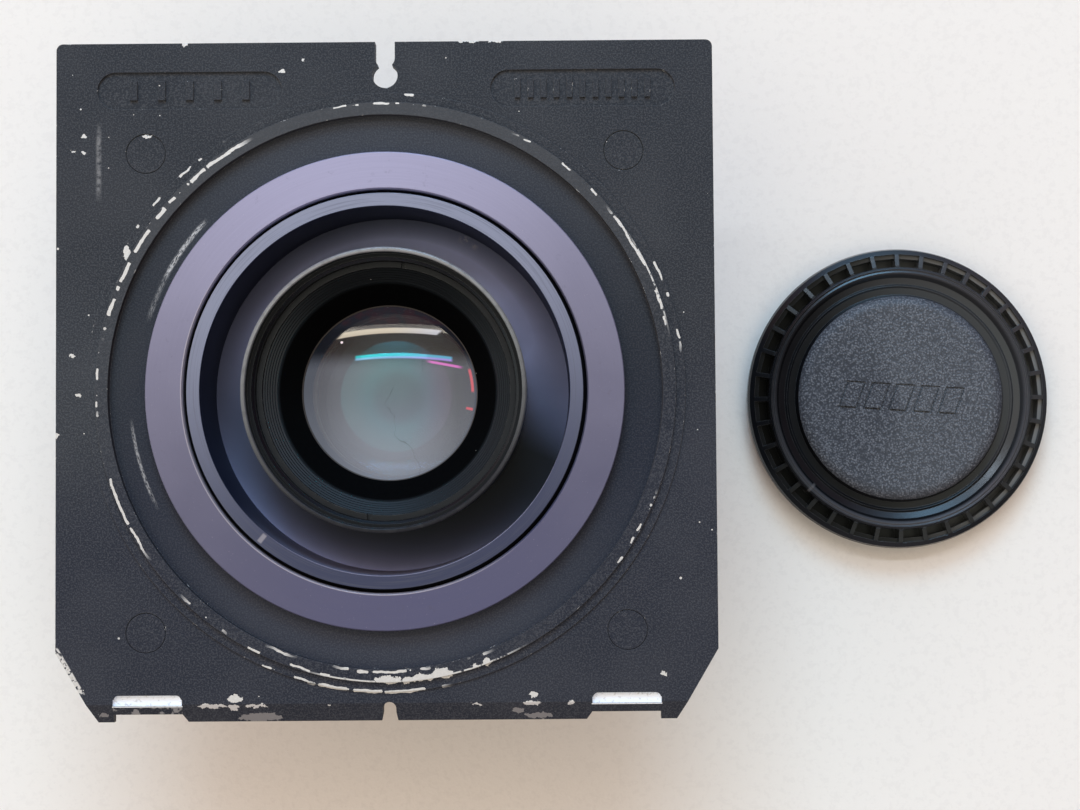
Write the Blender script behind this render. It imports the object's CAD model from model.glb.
import math

import bpy
from mathutils import Euler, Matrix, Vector


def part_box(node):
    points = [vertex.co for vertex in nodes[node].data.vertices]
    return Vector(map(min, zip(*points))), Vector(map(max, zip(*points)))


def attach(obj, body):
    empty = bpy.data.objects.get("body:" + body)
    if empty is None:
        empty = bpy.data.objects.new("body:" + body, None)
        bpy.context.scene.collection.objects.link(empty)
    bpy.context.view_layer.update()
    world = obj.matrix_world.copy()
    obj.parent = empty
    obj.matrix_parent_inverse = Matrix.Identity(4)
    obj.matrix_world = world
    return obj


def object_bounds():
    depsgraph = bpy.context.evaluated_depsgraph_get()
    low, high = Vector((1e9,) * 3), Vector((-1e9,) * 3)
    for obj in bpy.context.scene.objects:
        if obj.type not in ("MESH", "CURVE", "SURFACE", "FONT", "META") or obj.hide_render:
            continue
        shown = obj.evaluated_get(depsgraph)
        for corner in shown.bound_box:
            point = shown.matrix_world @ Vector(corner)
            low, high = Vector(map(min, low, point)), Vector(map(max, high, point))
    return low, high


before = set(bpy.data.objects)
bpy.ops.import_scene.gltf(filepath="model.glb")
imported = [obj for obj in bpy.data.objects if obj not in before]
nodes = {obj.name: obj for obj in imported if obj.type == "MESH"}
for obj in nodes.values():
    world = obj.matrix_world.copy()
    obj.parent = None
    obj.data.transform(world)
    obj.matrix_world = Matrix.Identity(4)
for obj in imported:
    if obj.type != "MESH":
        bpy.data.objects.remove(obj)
cad_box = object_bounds()

MM = 0.001
COOL = (0.74, 0.87, 1.0)        # tint of the reflections on black parts
WINDOW = (92, 38)               # azimuth and height of the window, in degrees
INNER_R, RIDGE_R = 40.2, 42.1   # board: edge of the inner floor, outer edge of the ridge
MARK_OFFSET = 34.9              # board: x and y of the ejector marks
CAP_X = (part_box("rear_cap")[0].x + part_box("rear_cap")[1].x) / 2 / MM
TABLE_Z = cad_box[0].z


# ---------------------------------------------------------------- node graphs

class Graph:
    """One node-based material. Its coordinates are millimetres in the row frame."""

    def __init__(self, name, centre=(0.0, 0.0, 0.0)):
        self.material = bpy.data.materials.new(name)
        self.material.use_nodes = True
        self.tree = self.material.node_tree
        self.tree.nodes.clear()
        coords = self.add("ShaderNodeTexCoord").outputs["Object"]
        self.mm = self.vector("MULTIPLY_ADD", coords, (1000, 1000, 1000), tuple(-c for c in centre))
        self.x, self.y, self.z = self.split(self.mm)
        self.r = self.math("SQRT", self.math("ADD", self.math("MULTIPLY", self.x, self.x),
                                             self.math("MULTIPLY", self.y, self.y)))
        turn = self.math("MULTIPLY", self.math("ARCTAN2", self.y, self.x), 180 / math.pi)
        self.deg = self.math("MODULO", self.math("ADD", turn, 360), 360)

    def add(self, kind, **settings):
        node = self.tree.nodes.new(kind)
        for key, value in settings.items():
            setattr(node, key, value)
        return node

    def put(self, socket, value):
        if isinstance(value, bpy.types.NodeSocket):
            self.tree.links.new(value, socket)
        elif value is not None:
            if socket.type == "RGBA" and not isinstance(value, (int, float)) and len(value) == 3:
                value = (*value, 1.0)
            elif socket.type == "RGBA" and isinstance(value, (int, float)):
                value = (value, value, value, 1.0)
            socket.default_value = value

    def math(self, op, a, b=None, c=None, clamp=False):
        node = self.add("ShaderNodeMath", operation=op, use_clamp=clamp)
        for socket, value in zip(node.inputs, (a, b, c)):
            self.put(socket, value)
        return node.outputs[0]

    def vector(self, op, a, b=None, c=None):
        node = self.add("ShaderNodeVectorMath", operation=op)
        for socket, value in zip(node.inputs, (a, b, c)):
            self.put(socket, value)
        return node.outputs["Value" if op in ("LENGTH", "DOT_PRODUCT", "DISTANCE") else "Vector"]

    def split(self, v):
        node = self.add("ShaderNodeSeparateXYZ")
        self.put(node.inputs[0], v)
        return node.outputs[0], node.outputs[1], node.outputs[2]

    def join(self, x, y, z):
        node = self.add("ShaderNodeCombineXYZ")
        for socket, value in zip(node.inputs, (x, y, z)):
            self.put(socket, value)
        return node.outputs[0]

    def noise(self, scale, detail=3.0, rough=0.5, at=None, colour=False):
        node = self.add("ShaderNodeTexNoise")
        self.put(node.inputs["Vector"], self.mm if at is None else at)
        node.inputs["Scale"].default_value = scale
        node.inputs["Detail"].default_value = detail
        node.inputs["Roughness"].default_value = rough
        return node.outputs["Color"] if colour else node.outputs[0]

    def cells(self, scale, at=None):
        node = self.add("ShaderNodeTexVoronoi")
        self.put(node.inputs["Vector"], self.mm if at is None else at)
        node.inputs["Scale"].default_value = scale
        return node.outputs["Distance"], node.outputs["Color"]

    def step(self, v, low, high):
        node = self.add("ShaderNodeMapRange", interpolation_type="SMOOTHSTEP")
        self.put(node.inputs[0], v)
        self.put(node.inputs[1], low)
        self.put(node.inputs[2], high)
        return node.outputs[0]

    def window(self, v, low, high, soft):
        up = self.step(v, low - soft, low + soft)
        down = self.step(v, high + soft, high - soft)
        return self.math("MULTIPLY", up, down)

    def most(self, *values):
        """Largest of the values; a generator is drawn one at a time, which keeps a big shader small."""
        out = None
        for v in values[0] if len(values) == 1 else values:
            out = v if out is None else self.math("MAXIMUM", out, v)
        return out

    def times(self, *values):
        out = values[0]
        for v in values[1:]:
            out = self.math("MULTIPLY", out, v)
        return out

    def arcs(self, spans, soft=2.0):
        return self.most(self.window(self.deg, low, high, soft) for low, high in spans)

    def dashes(self, radius, thin, thick, spans, share, seed):
        """Broken line of chips round the axis; share is the part of the arc left unchipped."""
        run = self.join(self.math("MULTIPLY", self.deg, 0.73), seed, 0.0)
        gate = self.step(self.noise(0.42, 2, 0.5, at=run), share - 0.012, share + 0.012)
        half = self.between(self.noise(1.1, 2, 0.6, at=self.vector("ADD", run, (0, 7, 3))), thin, thick)
        wander = self.math("MULTIPLY", self.math("SUBTRACT", self.noise(0.5, 2, 0.5), 0.5), 0.7)
        off = self.math("ABSOLUTE", self.math("SUBTRACT", self.math("SUBTRACT", self.r, radius), wander))
        thick_enough = self.math("LESS_THAN", off, self.math("MULTIPLY", half, gate))
        return self.times(thick_enough, self.arcs(spans))

    def mix(self, fac, a, b, mode="MIX"):
        node = self.add("ShaderNodeMix", data_type="RGBA", blend_type=mode)
        self.put(node.inputs[0], fac)
        self.put(node.inputs[6], a)
        self.put(node.inputs[7], b)
        return node.outputs[2]

    def coat(self, tone, mask, share, colour):
        """The tone with a colour laid over it where the mask is, at most by the share."""
        return self.mix(self.math("MULTIPLY", mask, share), tone, colour)

    def between(self, fac, a, b):
        node = self.add("ShaderNodeMapRange")
        self.put(node.inputs[0], fac)
        self.put(node.inputs[3], a)
        self.put(node.inputs[4], b)
        return node.outputs[0]

    def edge(self, radius, gain=6.0):
        """1 on the edges of the shape, 0 on its faces."""
        bevel = self.add("ShaderNodeBevel", samples=4)
        bevel.inputs["Radius"].default_value = radius * MM
        flat = self.add("ShaderNodeNewGeometry").outputs["Normal"]
        same = self.vector("DOT_PRODUCT", bevel.outputs[0], flat)
        return self.math("MULTIPLY", self.math("SUBTRACT", 1.0, same), gain, clamp=True)

    def bump(self, height, depth_mm, strength=1.0, round_mm=None, normal=None):
        node = self.add("ShaderNodeBump")
        node.inputs["Strength"].default_value = strength
        node.inputs["Distance"].default_value = depth_mm * MM
        self.put(node.inputs["Height"], height)
        if round_mm:
            bevel = self.add("ShaderNodeBevel", samples=4)
            bevel.inputs["Radius"].default_value = round_mm * MM
            normal = bevel.outputs[0]
        self.put(node.inputs["Normal"], normal)
        return node.outputs[0]

    def finish(self, colour, rough, metal=0.0, normal=None, specular=0.5, tint=(1.0, 1.0, 1.0)):
        node = self.add("ShaderNodeBsdfPrincipled")
        self.put(node.inputs["Base Color"], colour)
        self.put(node.inputs["Roughness"], rough)
        self.put(node.inputs["Metallic"], metal)
        self.put(node.inputs["Specular IOR Level"], specular)
        self.put(node.inputs["Normal"], normal)
        self.put(node.inputs["Specular Tint"], tint)
        out = self.add("ShaderNodeOutputMaterial")
        self.tree.links.new(node.outputs[0], out.inputs["Surface"])
        return self.material


def lean(g, azimuth):
    """-1..1: how far a place on a ring lies toward the azimuth."""
    a = math.radians(azimuth)
    along = g.math("ADD", g.math("MULTIPLY", g.x, math.cos(a)), g.math("MULTIPLY", g.y, math.sin(a)))
    return g.math("DIVIDE", along, g.math("MAXIMUM", g.r, 1.0))


# ---------------------------------------------------------------- lens board

def board_paint():
    g = Graph("board_paint")
    grain = g.noise(4.0, 3, 0.6)
    mottle = g.noise(0.35, 4, 0.55)
    patch = g.noise(0.06, 3, 0.5)
    ragged = g.noise(1.6, 4, 0.6)

    # paint: charcoal with a cast grain, lighter where it is rubbed and along its edges
    paint = g.mix(mottle, (0.0150, 0.0165, 0.0225), (0.0250, 0.0270, 0.0340))
    paint = g.coat(paint, g.step(patch, 0.42, 0.68), 0.5, (0.036, 0.038, 0.045))
    paint = g.coat(paint, g.step(grain, 0.46, 0.60), 0.65, (0.062, 0.065, 0.074))
    paint = g.coat(paint, g.step(g.noise(8.0, 2, 0.5), 0.64, 0.71), 0.6, (0.13, 0.13, 0.14))
    inner = g.math("LESS_THAN", g.r, INNER_R)
    upright = g.math("POWER", g.math("ABSOLUTE", lean(g, 90)), 2.0)
    paint = g.mix(g.math("MULTIPLY", inner, g.between(upright, 0.45, 0.35)), paint,
                  g.mix(upright, (0.009, 0.011, 0.019), (0.062, 0.069, 0.090)))
    ridge = g.window(g.r, INNER_R + 0.1, RIDGE_R, 0.1)
    paint = g.mix(g.times(ridge, g.step(lean(g, 95), -0.1, 1.0), 0.6), paint, (0.070, 0.073, 0.080))
    # dirt in the ejector marks' outlines
    mark = g.vector("SUBTRACT", g.vector("ABSOLUTE", g.join(g.x, g.y, 0.0)), (MARK_OFFSET, MARK_OFFSET, 0))
    outline = g.window(g.vector("LENGTH", mark), 2.78, 2.95, 0.03)
    paint = g.coat(paint, outline, 0.8, (0.004, 0.0045, 0.006))
    rubbed = g.edge(0.16, 5.0)
    paint = g.coat(paint, rubbed, 0.45, (0.105, 0.108, 0.118))

    # soft streaks: round the clamp ring, further out, and one down the left side
    polar = g.join(g.math("MULTIPLY", g.deg, 0.63), g.math("MULTIPLY", g.r, 5.0), g.z)
    fibres = g.step(g.noise(1.6, 3, 0.7, at=polar), 0.40, 0.58)
    streak = g.most(g.times(g.window(g.r, 36.0, 36.55, 0.2), g.arcs([(137, 152)], 1.5)),
                    g.times(g.window(g.r, 35.9, 36.5, 0.2), g.arcs([(152, 162)], 2), 0.35),
                    g.times(g.window(g.r, 37.1, 37.5, 0.15), g.arcs([(188, 205)], 3), 0.6))
    smear = g.times(g.window(g.x, -42.1, -41.5, 0.25), g.window(g.y, 29.0, 38.5, 1.5),
                    g.step(ragged, 0.3, 0.6))
    soft = g.most(g.times(streak, fibres), g.math("MULTIPLY", smear, 0.3))
    paint = g.mix(soft, paint, (0.50, 0.51, 0.53))

    # chips down to bare metal: broken lines on the ridge and on the step below it
    chips = g.most(g.dashes(*line) for line in [
        (41.62, 0.12, 0.36, [(119, 168)], 0.46, 1.0),
        (41.8, 0.08, 0.24, [(12, 38), (184, 214), (226, 236)], 0.51, 4.0),
        (41.9, 0.06, 0.22, [(40, 62), (82, 101), (168, 184), (240, 262), (322, 338)], 0.54, 9.0),
        (43.4, 0.08, 0.24, [(8, 30), (82, 88), (124, 150), (243, 256)], 0.54, 15.0),
        (43.55, 0.18, 0.30, [(256, 281)], 0.45, 22.0),
        (40.6, 0.10, 0.26, [(246, 250), (260, 279), (288, 291)], 0.47, 31.0)])
    worn_edge = g.times(g.window(g.r, 41.92, 42.2, 0.05), g.arcs([(256, 296), (14, 30)], 4),
                        g.step(g.noise(0.7, 3, 0.6), 0.36, 0.44))

    warp = g.vector("MULTIPLY_ADD", g.noise(1.3, 3, 0.6, colour=True), (1.3, 1.3, 0), (-0.65, -0.65, 0))
    bent = g.vector("ADD", g.mm, warp)

    def blots(spots):
        for cx, cy, rx, ry in spots:
            off = g.vector("MULTIPLY_ADD", bent, (1 / rx, 1 / ry, 0), (-cx / rx, -cy / ry, 0))
            yield g.math("LESS_THAN", g.vector("LENGTH", off), 1.0)

    bright = g.most(blots([
        (0.2, -41.8, 1.9, 0.55), (3.2, -41.9, 0.9, 0.4), (5.3, -41.5, 1.6, 0.55), (8.0, -40.9, 1.7, 0.7),
        (12.9, -39.9, 0.5, 0.4), (14.4, -39.3, 0.5, 0.6), (-37.7, 20.3, 0.55, 0.95),
        (-21.9, -44.4, 1.1, 0.55), (-25.3, -45.5, 2.0, 0.34), (-22.2, -45.7, 0.9, 0.4),
        (-18.9, -45.5, 1.5, 0.22), (-8.5, -45.4, 0.25, 0.16), (-22.5, -47.7, 0.8, 0.2),
        (-15.0, 46.9, 0.45, 0.3), (-11.9, 48.5, 0.16, 0.2), (-44.0, 37.5, 0.35, 0.25),
        (-45.6, 35.4, 0.32, 0.2), (-44.0, 35.1, 0.35, 0.28), (-34.6, 37.5, 0.7, 0.16),
        (-45.6, 5.5, 0.5, 0.22), (-44.7, -0.4, 0.4, 0.3),
        (13.1, -45.5, 0.7, 0.18), (21.2, -44.1, 0.66, 0.42), (21.0, -45.4, 1.2, 0.3),
        (26.7, -45.3, 0.5, 0.24), (40.1, -41.2, 0.35, 0.28), (-29.2, 50.9, 0.5, 0.3),
        (12.2, 51.1, 1.6, 0.16), (16.3, 51.1, 1.0, 0.2), (-47.9, -6.3, 0.35, 0.4)]))
    dull = g.most(blots([(-18.5, -47.2, 3.1, 0.68), (-41.2, -46.8, 0.65, 0.28), (19.0, -46.4, 0.75, 0.35),
                         (21.8, -47.2, 2.0, 0.42)]))
    upper = g.math("GREATER_THAN", g.math("MULTIPLY_ADD", ragged, 1.6, g.z), 0.0)
    bright = g.times(bright, upper)
    cut_left = g.times(g.window(g.math("ADD", g.x, g.math("MULTIPLY", g.y, 0.59)), -70.6, -69.45, 0.1),
                       g.window(g.y, -43.6, -37.0, 0.2), g.step(ragged, 0.42, 0.46), upper)
    rim_wear = g.times(g.edge(0.22, 5.0), g.step(g.noise(0.55, 4, 0.7), 0.62, 0.66))

    # stray dots of bare metal
    def dots(scale, size, rare):
        dist, shade = g.cells(scale)
        chance = g.split(shade)[0]
        return g.times(g.math("LESS_THAN", dist, g.between(chance, 0.0, size)),
                       g.math("GREATER_THAN", chance, rare))

    stray = g.times(g.most(dots(0.21, 0.042, 0.55), dots(0.55, 0.060, 0.80)),
                    g.math("GREATER_THAN", g.r, 43.7), g.math("GREATER_THAN", g.z, -0.1))

    # pockets that the camera's lugs rub bright
    across = g.math("ABSOLUTE", g.x)
    pocket = g.times(g.window(across, 29.6, 39.8, 0.05), g.window(g.y, -45.6, -43.2, 0.02),
                     g.math("LESS_THAN", g.z, -0.12))
    lug_face = g.times(g.window(g.x, -39.7, -29.7, 0.1), g.window(g.y, -46.9, -45.6, 0.05),
                       g.step(g.noise(0.6, 4, 0.6), 0.50, 0.55))

    bare = g.most(chips, worn_edge, bright, cut_left, rim_wear, stray)
    bare_tone = g.mix(g.between(g.noise(2.2, 3, 0.6), 0.2, 0.8), (0.46, 0.47, 0.48), (0.74, 0.75, 0.76))
    colour = g.coat(paint, g.most(dull, lug_face), 0.95, (0.24, 0.24, 0.25))
    colour = g.mix(bare, colour, bare_tone)
    lug_tone = g.mix(g.step(ragged, 0.56, 0.64), (0.86, 0.92, 1.00), (0.66, 0.70, 0.75))
    colour = g.mix(pocket, colour, lug_tone)
    metal_mask = g.most(bare, pocket, g.math("MULTIPLY", g.most(dull, lug_face), 0.7))
    rough = g.between(metal_mask, g.between(mottle, 0.48, 0.60), 0.42)
    height = g.math("ADD", grain, g.math("MULTIPLY", mottle, 0.6))
    # the sheen is neutral toward the top, bluer below, strongest at the middle of the left side
    sheen = g.mix(g.step(g.y, -15.0, 15.0), (0.25, 0.35, 0.62), (0.37, 0.47, 0.58))
    left = g.times(g.step(g.x, -30.0, -48.0), g.window(g.y, -14.0, 14.0, 12.0))
    sheen = g.mix(left, sheen, (0.66, 0.82, 1.0))
    return g.finish(colour, rough, g.math("MULTIPLY", g.most(bare, dull), 0.35),
                    g.bump(height, 0.055, 0.9, 0.12), 0.4, sheen)


# ---------------------------------------------------------------- rings and tube

def turning_marks(g, pitch):
    """Fine lathe lines round the axis, in noise."""
    polar = g.join(g.math("MULTIPLY", g.deg, 0.05), g.math("MULTIPLY", g.r, pitch),
                   g.math("MULTIPLY", g.z, pitch))
    return g.noise(1.0, 3, 0.6, at=polar)


def clamp_ring_finish():
    g = Graph("clamp_ring_anodised")
    turning = turning_marks(g, 7.0)
    cloud = g.math("MULTIPLY", g.math("SUBTRACT", g.noise(0.10, 3, 0.5), 0.5), 0.5)
    # violet anodising, faded most on the side that faced the light and greyer at the sides
    fade = g.step(g.math("ADD", lean(g, 98), cloud), -0.85, 0.95)
    side = g.math("POWER", g.math("ABSOLUTE", lean(g, 10)), 2.0)
    tone = g.mix(fade, (0.082, 0.090, 0.190), (0.34, 0.345, 0.53))
    tone = g.coat(tone, side, 0.45, (0.110, 0.114, 0.160))
    tone = g.mix(g.between(turning, 0.0, 0.25), tone, (0.14, 0.13, 0.19))
    lip = g.times(g.window(g.r, 29.2, 29.62, 0.05), g.arcs([(150, 300)], 20))
    tone = g.coat(tone, lip, 0.6, (0.50, 0.48, 0.56))
    dirt = g.step(g.noise(0.9, 5, 0.7), 0.60, 0.72)
    tone = g.coat(tone, dirt, 0.2, (0.08, 0.075, 0.11))
    fleck = g.step(g.noise(4.5, 2, 0.5), 0.72, 0.75)
    tone = g.coat(tone, fleck, 0.25, (0.55, 0.53, 0.6))
    return g.finish(tone, g.between(turning, 0.36, 0.48), 0.5, g.bump(turning, 0.004, 0.7, 0.10))


def tube_finish():
    g = Graph("tube_anodised")
    turning = turning_marks(g, 6.0)
    cloud = g.noise(0.12, 4, 0.55)
    fade = g.step(lean(g, 100), -0.9, 0.75)
    rim = g.mix(fade, (0.054, 0.064, 0.125), (0.24, 0.27, 0.39))
    rim = g.coat(rim, g.step(turning, 0.5, 0.62), 0.35, (0.10, 0.11, 0.15))
    inside = g.math("LESS_THAN", g.r, 26.85)
    low = g.math("LESS_THAN", g.z, -12.6)
    wall = g.mix(cloud, (0.003, 0.005, 0.022), (0.009, 0.013, 0.044))
    wall = g.mix(g.step(lean(g, 285), 0.3, 0.95), wall, (0.20, 0.205, 0.31))
    # the turned floor: a bright fan at the upper right, a dark one at the lower right,
    # brighter by the barrel on top and by the wall below
    fan = g.math("POWER", g.math("MAXIMUM", lean(g, 42), 0.0), 4.0)
    level = g.math("MULTIPLY_ADD", fan, 0.95, g.between(g.step(lean(g, 110), 0.15, 1.0), 0.42, 1.15))
    dip = g.math("MAXIMUM", g.between(g.step(g.deg, 245, 330), 1.0, 0.04), g.step(g.deg, 334, 358))
    top = lean(g, 95)
    slope = g.math("MINIMUM", g.times(g.math("SUBTRACT", 24.0, g.r), top, 0.8),
                   g.between(g.step(top, -0.3, 0.3), 2.2, 0.2))
    shade = g.times(level, dip, g.math("POWER", 2.0, slope))
    floor = g.mix(1.0, g.mix(cloud, (0.185, 0.215, 0.40), (0.275, 0.32, 0.55)), shade, "MULTIPLY")
    tone = g.mix(inside, rim, wall)
    tone = g.mix(g.math("MULTIPLY", inside, low), tone, floor)
    # a pale rub on the floor by the wall and a tick on the rim
    rub = g.times(g.window(g.deg, 60, 66, 1.5), g.window(g.r, 25.4, 26.5, 0.4), low,
                  g.step(g.noise(0.9, 4, 0.7), 0.48, 0.6))
    tick = g.times(g.window(g.deg, 229.4, 230.8, 0.25), g.window(g.r, 27.0, 28.4, 0.15))
    tone = g.coat(tone, g.most(rub, tick), 0.6, (0.38, 0.38, 0.46))
    groove = g.times(g.math("GREATER_THAN", g.r, 28.75), g.math("GREATER_THAN", g.z, -0.4))
    tone = g.mix(groove, tone, (0.005, 0.005, 0.007))
    rough = g.between(inside, g.between(turning, 0.30, 0.42), 0.5)
    return g.finish(tone, rough, g.between(inside, 0.5, 0.1), g.bump(turning, 0.005, 0.7, 0.10), 0.35, COOL)


def rear_barrel_finish():
    g = Graph("rear_barrel_black")
    turning = turning_marks(g, 6.0)
    cloud = g.noise(0.3, 4, 0.6)
    base = g.mix(cloud, (0.0035, 0.0040, 0.0060), (0.0085, 0.0095, 0.0130))
    top = g.times(g.math("GREATER_THAN", g.z, 3.55), g.math("GREATER_THAN", g.r, 19.8))
    shine = g.step(lean(g, 98), -1.0, 0.95)
    bright = g.mix(shine, (0.022, 0.024, 0.032), (0.30, 0.32, 0.35))
    bright = g.coat(bright, g.step(g.noise(0.8, 3, 0.6), 0.45, 0.7), 0.3, (0.06, 0.065, 0.075))
    tone = g.mix(top, base, bright)
    line = g.times(g.edge(0.07, 5.0), g.between(shine, 0.15, 0.6))
    tone = g.mix(line, tone, (0.22, 0.23, 0.25))
    return g.finish(tone, g.between(turning, 0.22, 0.36), g.between(top, 0.1, 0.5),
                    g.bump(turning, 0.004, 0.6, 0.08), 0.35, COOL)


def black_alloy():
    g = Graph("black_alloy")
    grain = g.noise(6.0, 3, 0.6)
    cloud = g.noise(0.25, 4, 0.6)
    base = g.mix(cloud, (0.0065, 0.0070, 0.0090), (0.0117, 0.0126, 0.0162))
    worn = g.times(g.edge(0.12, 4.0), g.step(g.noise(0.8, 4, 0.65), 0.44, 0.60), 0.5)
    base = g.mix(worn, base, (0.24, 0.245, 0.26))
    dust = g.step(g.noise(3.5, 2, 0.5), 0.73, 0.78)
    base = g.coat(base, dust, 0.25, (0.2, 0.2, 0.2))
    return g.finish(base, g.between(cloud, 0.26, 0.40), g.math("MULTIPLY", worn, 0.6),
                    g.bump(grain, 0.006, 0.6, 0.08), 0.4, COOL)


def baffle_black():
    g = Graph("baffle_black")
    ribbed = g.step(g.z, -3.9, -3.3)
    rings = g.noise(1.0, 2, 0.5, at=g.join(g.math("MULTIPLY", g.deg, 0.02), g.math("MULTIPLY", g.r, 4.0), 0.0))
    cone = g.mix(g.noise(1.5, 3, 0.6), (0.0012, 0.0014, 0.0018), (0.0028, 0.003, 0.0034))
    ribs = g.mix(rings, (0.0045, 0.0058, 0.0075), (0.012, 0.0145, 0.018))
    dist, shade = g.cells(0.45)
    chance = g.split(shade)[0]
    fleck = g.times(g.math("LESS_THAN", dist, g.between(chance, 0.0, 0.05)),
                    g.math("GREATER_THAN", chance, 0.8))
    tone = g.mix(g.math("MULTIPLY", fleck, 0.7), g.mix(ribbed, cone, ribs), (0.30, 0.31, 0.32))
    edge_line = g.window(g.r, 12.9, 13.12, 0.03)
    tone = g.coat(tone, edge_line, 0.5, (0.16, 0.15, 0.15))
    # the ribs catch the room on the left, least of all on top
    side = g.math("MULTIPLY_ADD", lean(g, 165), 0.17, 0.36)
    side = g.times(side, g.between(g.step(lean(g, 90), 0.2, 0.95), 1.0, 0.1),
                   g.between(g.step(lean(g, 270), 0.3, 1.0), 1.0, 0.5))
    return g.finish(tone, g.between(ribbed, 0.8, 0.42), 0.0, g.bump(rings, 0.02, 0.6),
                    g.math("MULTIPLY", side, g.between(ribbed, 0.06, 1.0)), (0.66, 0.82, 1.0))


# ---------------------------------------------------------------- metals

def turned_metal(name, light, dark, rough=(0.22, 0.36)):
    g = Graph(name)
    brushed = turning_marks(g, 9.0)
    cloud = g.noise(0.5, 4, 0.6)
    tone = g.mix(g.math("MULTIPLY", g.math("ADD", brushed, cloud), 0.5), light, dark)
    stain = g.step(g.noise(1.4, 5, 0.7), 0.60, 0.75)
    tone = g.coat(tone, stain, 0.3, tuple(c * 0.45 for c in dark))
    return g.finish(tone, g.between(brushed, *rough), 1.0, g.bump(brushed, 0.003, 0.6, 0.06))


def blade_steel():
    g = Graph("blade_steel")
    smear = g.noise(0.35, 4, 0.6)
    fine = g.noise(7.0, 3, 0.6)
    tone = g.mix(smear, (0.045, 0.047, 0.052), (0.085, 0.088, 0.098))
    worn = g.times(g.edge(0.05, 4.0), 0.5)
    tone = g.mix(worn, tone, (0.35, 0.35, 0.37))
    return g.finish(tone, g.between(smear, 0.32, 0.5), 0.7, g.bump(fine, 0.002, 0.5))


# ---------------------------------------------------------------- glass

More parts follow.
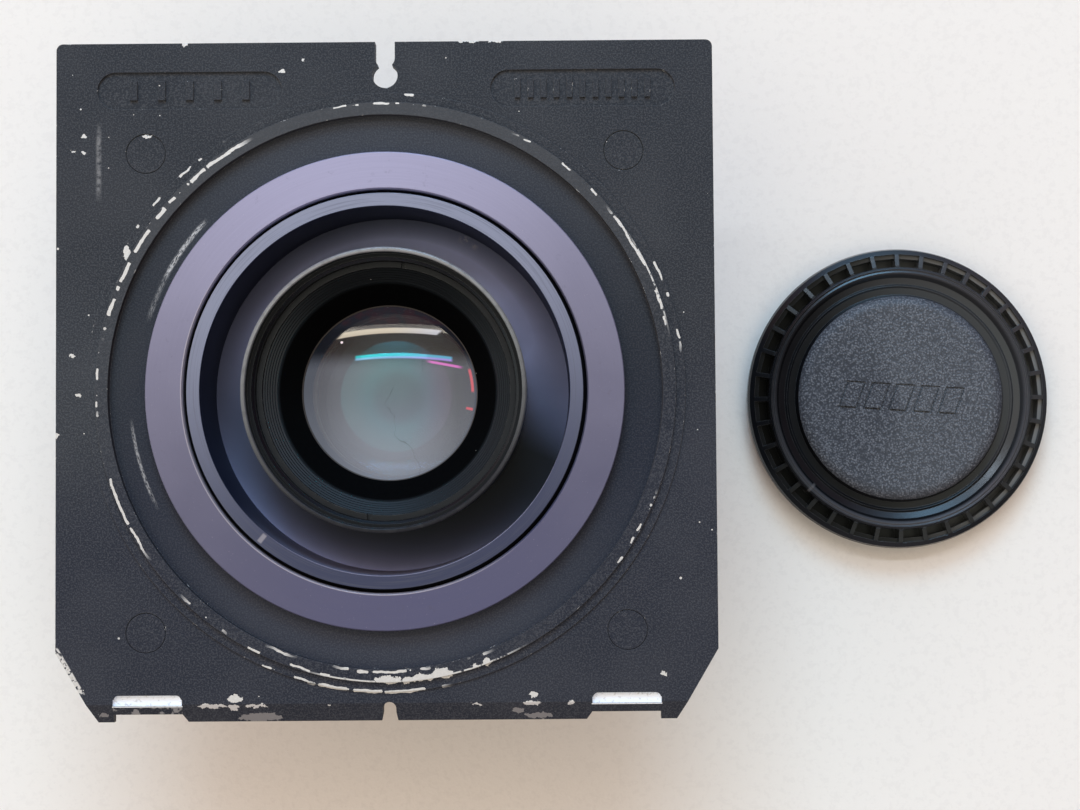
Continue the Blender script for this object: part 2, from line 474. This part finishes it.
def optical_glass(name, film, strength, veil=False):
    """Clear glass that lets light straight through, with the tinted reflections of its coatings."""
    g = Graph(name)
    fresnel = g.add("ShaderNodeFresnel")
    fresnel.inputs["IOR"].default_value = 1.55
    tint = g.mix(g.step(g.x, 2.0, 9.5), film[0], film[1])
    rear_face = g.math("GREATER_THAN", g.z, -9.6)
    if veil:
        # the outer face mirrors the room almost untinted
        tint = g.mix(rear_face, tint, (1.0, 0.86, 0.72))
    clear = g.add("ShaderNodeBsdfTransparent")
    clear.inputs["Color"].default_value = (0.93, 0.955, 0.95, 1)
    mirror = g.add("ShaderNodeBsdfGlossy")
    mirror.inputs["Roughness"].default_value = 0.01
    g.put(mirror.inputs["Color"], tint)
    last = g.add("ShaderNodeMixShader")
    power = g.between(rear_face, strength, 0.95) if veil else strength
    g.put(last.inputs[0], g.math("MULTIPLY", fresnel.outputs[0], power, clamp=True))
    g.tree.links.new(clear.outputs[0], last.inputs[1])
    g.tree.links.new(mirror.outputs[0], last.inputs[2])
    if veil:
        # haze of stray light: dark above, grey blue below, with hairs, dust and ghost images
        low = g.math("ADD", g.math("MULTIPLY", g.step(g.y, 6.6, 3.2), 0.66),
                     g.between(g.step(g.y, 2.0, -8.0), 0.05, 0.34))
        low = g.times(low, g.between(g.math("MULTIPLY", g.x, g.math("MULTIPLY", g.x, 0.01)), 1.0, 0.62))
        tone = g.mix(low, (0.004, 0.004, 0.008), (0.330, 0.360, 0.438))
        glow = g.math("SUBTRACT", 1.0, g.step(g.vector("DISTANCE", g.mm, (0.5, 2.4, -7.0)), 1.0, 7.0))
        glow = g.math("MULTIPLY", glow, g.step(g.y, 5.6, 4.6))
        tone = g.coat(tone, glow, 0.45, (0.225, 0.325, 0.335))
        crescent = g.times(g.step(g.y, 9.9, 10.6), g.step(g.noise(0.45, 3, 0.6), 0.4, 0.6))
        tone = g.coat(tone, crescent, 0.7, (0.040, 0.018, 0.024))
        bow = g.math("MULTIPLY", g.math("POWER", g.math("ABSOLUTE", g.math("ADD", g.y, 1.0)), 1.35), 0.20)
        drift = g.math("ADD", bow, g.math("MULTIPLY", g.noise(0.25, 2, 0.5), 9.0))
        hair = g.times(g.window(g.math("SUBTRACT", g.x, drift), -5.25, -5.13, 0.05),
                       g.window(g.y, -12.4, 1.0, 0.6))
        curl = g.math("ADD", g.x, g.math("MULTIPLY", g.noise(0.3, 2, 0.5), 0.4))
        wisp = g.times(g.window(curl, 5.1, 5.2, 0.05), g.window(g.y, 3.0, 8.0, 0.5))
        tone = g.coat(tone, g.most(hair, wisp), 0.45, (0.05, 0.05, 0.055))
        tone = g.coat(tone, g.step(g.noise(5.0, 2, 0.5), 0.70, 0.74), 0.3, (0.40, 0.40, 0.41))
        # reflections of the window: a cream bar, a teal band that ends blue, and pink and red ghosts
        aside = g.math("SUBTRACT", g.x, 1.2)
        squared = g.math("MULTIPLY", aside, aside)
        bar = g.times(g.window(g.math("MULTIPLY_ADD", squared, 0.0100, g.y), 8.98, 9.78, 0.10),
                      g.window(g.math("SUBTRACT", g.x, g.y), -16.1, -1.6, 0.3))
        sag = g.math("MULTIPLY_ADD", squared, 0.0080, g.y)
        band = g.times(g.window(sag, 5.16, 5.88, 0.12), g.window(g.x, -5.1, 9.3, 0.25))
        line = g.times(g.window(g.math("MULTIPLY_ADD", g.x, 0.18, g.y), 5.52, 5.90, 0.08),
                       g.window(g.x, 5.8, 10.6, 0.6))
        edge = g.times(g.window(g.r, 12.15, 12.55, 0.1), g.window(g.deg, 0.5, 16.5, 1.2))
        hook = g.times(g.window(g.r, 11.6, 12.6, 0.1), g.window(g.deg, 347.6, 349.4, 0.5))
        right = g.step(g.x, -3.0, 9.5)
        upper = g.mix(right, (0.045, 0.56, 0.58), (0.15, 0.45, 0.66))
        lower = g.mix(right, (0.26, 0.52, 0.78), (0.42, 0.30, 0.78))
        tone = g.mix(bar, tone, g.mix(g.step(g.x, -1.0, 8.0), (0.66, 0.58, 0.46), (0.60, 0.60, 0.66)))
        tone = g.mix(band, tone, g.mix(g.step(sag, 5.35, 5.60), lower, upper))
        tone = g.mix(line, tone, (0.75, 0.22, 0.60))
        tone = g.mix(g.most(edge, hook), tone, (0.72, 0.16, 0.20))
        star = g.math("LESS_THAN", g.vector("DISTANCE", g.join(g.x, g.y, 0.0), (-7.2, 7.65, 0)), 0.2)
        tone = g.mix(star, tone, (1.0, 0.85, 0.9))
        haze = g.add("ShaderNodeEmission")
        g.put(haze.inputs["Color"], tone)
        over = g.add("ShaderNodeMixShader")
        up = g.split(g.add("ShaderNodeNewGeometry").outputs["Normal"])[2]
        ghosts = g.most(bar, band, line, edge, hook, star)
        brow = g.math("MULTIPLY", g.step(g.y, 9.5, 9.9), 0.75)
        share = g.between(g.math("MAXIMUM", ghosts, brow), 0.60, 0.88)
        g.put(over.inputs[0], g.times(g.math("GREATER_THAN", up, 0.5), rear_face, share))
        g.tree.links.new(last.outputs[0], over.inputs[1])
        g.tree.links.new(haze.outputs[0], over.inputs[2])
        last = over
    out = g.add("ShaderNodeOutputMaterial")
    g.tree.links.new(last.outputs[0], out.inputs["Surface"])
    return g.material


# ---------------------------------------------------------------- cap

def cap_plastic():
    g = Graph("cap_plastic", centre=(CAP_X, 0.0, 0.0))
    top_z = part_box("rear_cap")[1].z / MM
    disc = g.times(g.math("LESS_THAN", g.r, 16.95), g.math("GREATER_THAN", g.z, top_z - 1.75))
    fine = g.noise(3.4, 3, 0.6)
    dist, shade = g.cells(2.9)
    leather = g.math("ADD", g.math("MULTIPLY", fine, 0.75), g.math("MULTIPLY", dist, 0.5))
    skin = g.mix(g.step(leather, 0.46, 0.72), (0.116, 0.131, 0.162), (0.042, 0.048, 0.062))
    moat = g.times(g.math("LESS_THAN", g.r, 13.0), g.window(g.z, top_z - 0.3, top_z - 0.18, 0.02))
    skin = g.coat(skin, moat, 0.8, (0.012, 0.014, 0.018))
    skin = g.coat(skin, g.step(leather, 0.50, 0.36), 0.6, (0.22, 0.24, 0.27))
    cloud = g.noise(0.2, 3, 0.5)
    smooth = g.mix(cloud, (0.0035, 0.0042, 0.0058), (0.0075, 0.0084, 0.0108))
    # the moulding is greyer toward the upper right, and along its crest below
    smooth = g.mix(g.step(lean(g, 35), -0.2, 1.0), smooth, (0.028, 0.031, 0.036))
    well = g.times(g.window(g.r, 21.9, 24.0, 0.1), g.math("LESS_THAN", g.z, top_z - 2.9))
    smooth = g.mix(g.times(well, g.step(lean(g, 10), -0.3, 0.9)), smooth, (0.135, 0.140, 0.150))
    crest = g.window(g.r, 20.5, 21.4, 0.15)
    below = g.between(g.step(lean(g, 290), -1.0, 1.0), 0.15, 0.9)
    smooth = g.mix(g.times(crest, below), smooth, (0.060, 0.063, 0.074))
    scuff = g.times(g.edge(0.12, 5.0), g.between(g.step(g.noise(1.1, 4, 0.7), 0.35, 0.62), 0.3, 1.0))
    smooth = g.coat(smooth, scuff, 0.35, (0.16, 0.17, 0.19))
    nick = g.times(g.window(g.deg, 224.2, 225.4, 0.3), g.window(g.r, 20.2, 21.9, 0.2))
    smooth = g.coat(smooth, nick, 0.6, (0.12, 0.12, 0.13))
    tone = g.mix(disc, smooth, skin)
    height = g.math("ADD", g.math("MULTIPLY", g.math("MULTIPLY", leather, disc), -1.0),
                    g.math("MULTIPLY", g.noise(6.0, 2, 0.5), 0.03))
    return g.finish(tone, g.between(disc, g.between(cloud, 0.16, 0.26), 0.46), 0.0,
                    g.bump(height, 0.14, 1.0, 0.12), g.between(g.step(lean(g, 10), -1.0, 0.2), 0.15, 0.52), COOL)


# ---------------------------------------------------------------- materials on the CAD

finishes = {
    "lens_board": board_paint(),
    "tube_clamp_ring": clamp_ring_finish(),
    "extension_tube": tube_finish(),
    "rear_barrel": rear_barrel_finish(),
    "rear_baffle": baffle_black(),
    "rear_crown_element": optical_glass("rear_glass", ((0.06, 0.76, 0.98), (0.55, 0.35, 1.00)), 2.5,
                                        veil=True),
    "rear_flint_element": optical_glass("cement_glass", ((0.30, 0.95, 0.95), (0.95, 0.35, 0.75)), 0.5),
    "second_element": optical_glass("mid_glass", ((0.7, 0.6, 0.95), (0.8, 0.6, 0.8)), 0.6),
    "front_element": optical_glass("front_glass", ((0.55, 0.50, 0.95), (0.50, 0.80, 0.75)), 0.9),
    "aperture_scale": turned_metal("scale_plate", (0.72, 0.72, 0.73), (0.55, 0.55, 0.57), (0.3, 0.42)),
    "rear_cap": cap_plastic(),
}
shared = [
    (black_alloy(),
     ["shutter_lock_ring", "rear_lock_ring", "shutter_housing", "speed_ring", "bezel_ring", "front_barrel",
      "element_spacer", "front_trim_ring"]),
    (turned_metal("steel", (0.62, 0.62, 0.64), (0.42, 0.42, 0.44)),
     ["locating_screw", "housing_screws", "iris_drive_ring", "blade_plate", "mechanism_screws", "mainspring",
      "release_pivot", "release_spring", "governor_screws", "bezel_screws"]),
    (turned_metal("brass", (0.72, 0.55, 0.26), (0.52, 0.38, 0.16)),
     ["blade_drive_ring", "mechanism_plate", "cocking_ring", "governor_pinion", "governor_wheel",
      "escape_wheel", "governor_bridge", "speed_cam", "flash_contact_pin"]),
    (turned_metal("satin_chrome", (0.80, 0.80, 0.82), (0.62, 0.62, 0.64), (0.14, 0.26)),
     ["aperture_lever", "preview_lever", "cocking_lever", "release_lever", "cable_release_socket",
      "flash_terminal"]),
    (blade_steel(),
     [n for n in nodes if n.startswith(("iris_blade_", "shutter_blade_"))]),
]
for material, names in shared:
    for name in names:
        finishes[name] = material
for name, obj in nodes.items():
    obj.data.materials.clear()
    obj.data.materials.append(finishes[name])


# ---------------------------------------------------------------- numbers on the dials

def ink(name, tone, worn):
    g = Graph(name)
    grain = g.noise(9.0, 3, 0.6)
    return g.finish(g.mix(g.step(grain, 0.55, 0.70), tone, worn), g.between(grain, 0.35, 0.55), 0.0,
                    g.bump(grain, 0.004, 0.6), 0.4)


def numbers(name, entries, size, place, material, body):
    """Raised figures; place turns a flat point in mm and an angle into a point in the row frame."""
    points, faces = [], []
    for text, angle in entries:
        curve = bpy.data.curves.new(name, "FONT")
        curve.body, curve.size, curve.extrude, curve.resolution_u = text, size, 0.018, 3
        curve.align_x = curve.align_y = "CENTER"
        flat = bpy.data.objects.new(name, curve)
        outline = flat.to_mesh()
        first = len(points)
        points += [place(v.co, math.radians(angle)) for v in outline.vertices]
        faces += [[first + i for i in face.vertices] for face in outline.polygons]
        flat.to_mesh_clear()
        bpy.data.objects.remove(flat)
        bpy.data.curves.remove(curve)
    mesh = bpy.data.meshes.new(name)
    mesh.from_pydata(points, [], faces)
    mesh.materials.append(material)
    figure = bpy.data.objects.new(name, mesh)
    bpy.context.scene.collection.objects.link(figure)
    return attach(figure, body)


CLEAR = 0.02                    # the figures stand this far off the surface
SCALE_R = 31.95                 # outside of the aperture scale
SCALE_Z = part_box("aperture_scale")[0].z / MM
SPEED_R = 29.4                  # middle of the speed ring's bevel
SPEED_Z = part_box("speed_ring")[0].z / MM + 0.4
BEVEL = (0.928, 0.371)          # the bevel's slope: outward and up


def on_plate(rise):
    def place(p, a):
        a += p.x / SCALE_R
        r = SCALE_R + CLEAR + p.z
        return Vector((r * math.cos(a), r * math.sin(a), SCALE_Z + rise + p.y)) * MM
    return place


def on_cone(p, a):
    a += p.x / SPEED_R
    lift = CLEAR + p.z
    r = SPEED_R + BEVEL[0] * p.y + BEVEL[1] * lift
    return Vector((r * math.cos(a), r * math.sin(a), SPEED_Z + BEVEL[1] * p.y - BEVEL[0] * lift)) * MM


SPEED_PITCH = 24.4              # degrees between two speeds
stops = [("5.6", 128), ("8", 120), ("11", 112), ("16", 104), ("22", 96), ("32", 88)]
speeds = [(str(n), 90 - SPEED_PITCH * i) for i, n in enumerate([1, 2, 4, 8, 15, 30, 60, 125, 250, 500])]
black_ink = ink("black_ink", (0.012, 0.012, 0.014), (0.10, 0.10, 0.11))
white_ink = ink("white_ink", (0.72, 0.72, 0.70), (0.40, 0.40, 0.40))
numbers("stop_numbers", stops, 2.0, on_plate(1.35), black_ink, "lens")
numbers("stop_marks", [("|", a) for _, a in stops], 1.1, on_plate(3.75), black_ink, "lens")
numbers("speed_numbers", speeds, 1.7, on_cone, white_ink, "speed_control")


# ---------------------------------------------------------------- table and light

def paper():
    g = Graph("paper")
    fibre = g.noise(0.9, 5, 0.65)
    cloud = g.noise(0.012, 2, 0.5)
    tone = g.mix(cloud, (0.80, 0.80, 0.80), (0.86, 0.86, 0.855))
    tone = g.coat(tone, g.step(fibre, 0.50, 0.62), 0.22, (0.70, 0.70, 0.705))
    return g.finish(tone, 0.75, 0.0, g.bump(fibre, 0.10, 0.6), 0.25)


mesh = bpy.data.meshes.new("table")
HALF = 2.5
corners = [(-HALF, -HALF), (HALF, -HALF), (HALF, HALF), (-HALF, HALF)]
mesh.from_pydata([(x, y, TABLE_Z) for x, y in corners], [], [(0, 1, 2, 3)])
table = bpy.data.objects.new("table", mesh)
bpy.context.scene.collection.objects.link(table)
table.data.materials.append(paper())


def area(name, place, target, size, power, colour):
    lamp = bpy.data.lights.new(name, "AREA")
    lamp.shape = "RECTANGLE"
    lamp.size, lamp.size_y = size
    lamp.energy = power
    lamp.color = colour
    obj = bpy.data.objects.new(name, lamp)
    bpy.context.scene.collection.objects.link(obj)
    obj.location = place
    obj.rotation_euler = (Vector(target) - obj.location).to_track_quat("-Z", "Y").to_euler()
    return obj


def toward(azimuth, height):
    a, h = math.radians(azimuth), math.radians(height)
    return Vector((math.cos(a) * math.cos(h), math.sin(a) * math.cos(h), math.sin(h)))


# cool window beyond the top edge of the board
area("window", 1.5 * toward(*WINDOW), (0, 0, 0), (0.70, 0.46), 8.2, (0.42, 0.77, 1.0))


def strip(name, x_span, y_deg, thick, height, radiance, colour):
    """Level strip lamp; x_span and y_deg are how far off the vertical it is seen from the lens."""
    y = height * math.tan(math.radians(y_deg))
    x0, x1 = (height / math.cos(math.radians(y_deg)) * math.tan(math.radians(a)) for a in x_span)
    lamp = area(name, ((x0 + x1) / 2, y, height), (0, 0, -0.01), (x1 - x0, thick), 1.0, colour)
    lamp.data.energy = radiance * (x1 - x0) * thick * math.pi
    lamp.rotation_euler = Euler((-math.radians(y_deg), 0, 0))


# bright strip that the glass mirrors
strip("strip", (-24, 18), 28.6, 0.075, 1.32, 14.0, (0.90, 0.96, 1.0))

# soft room: (azimuth, height, sharpness, colour) of each broad source round the table
ROOM = [(*WINDOW, 14, (1.05, 2.00, 2.75)),
        (0, 90, 6, (2.30, 2.02, 1.50)),
        (180, 15, 6, (1.85, 1.86, 1.64)),
        (135, 30, 6, (0.70, 0.14, 0.05)),
        (45, 40, 6, (0.33, 0.05, 0.05)),
        (270, 28, 4, (0.62, 0.50, 0.50))]
sky = Graph.__new__(Graph)      # the world has no object coordinates, so it skips Graph.__init__
bpy.context.scene.world = bpy.data.worlds.new("soft_room")
bpy.context.scene.world.use_nodes = True
sky.tree = bpy.context.scene.world.node_tree
sky.tree.nodes.clear()
heading = sky.add("ShaderNodeTexCoord").outputs["Generated"]
total = (0.0, 0.0, 0.0)
for azimuth, height, sharp, colour in ROOM:
    near = sky.math("MAXIMUM", sky.vector("DOT_PRODUCT", heading, toward(azimuth, height)), 0.0)
    total = sky.vector("MULTIPLY_ADD", sky.math("POWER", near, sharp), colour, total)
# whoever takes the picture leans over the table and darkens the middle of the ceiling
overhead = sky.step(sky.split(heading)[2], 0.93, 0.985)
total = sky.vector("MULTIPLY", total, sky.between(overhead, 1.0, 0.18))
back = sky.add("ShaderNodeBackground")
sky.put(back.inputs["Color"], total)
sky.tree.links.new(back.outputs[0], sky.add("ShaderNodeOutputWorld").inputs[0])

bpy.context.scene.view_settings.view_transform = "Standard"
bpy.context.scene.cycles.transparent_max_bounces = 24

# ---------------------------------------------------------------- camera and hand-over

CAMERA_PLACE = (0.02293, -0.01264, 0.27488)     # metres
CAMERA_TURN = (2.163, 0.119, -0.432)            # degrees off straight down

optics = bpy.data.cameras.new("camera")
optics.sensor_width = 36.0
optics.lens = 63.07
optics.clip_start = 0.01
optics.clip_end = 20.0
camera = bpy.data.objects.new("camera", optics)
bpy.context.scene.collection.objects.link(camera)
camera.location = CAMERA_PLACE
camera.rotation_euler = Euler([math.radians(a) for a in CAMERA_TURN], "XYZ")
bpy.context.scene.camera = camera
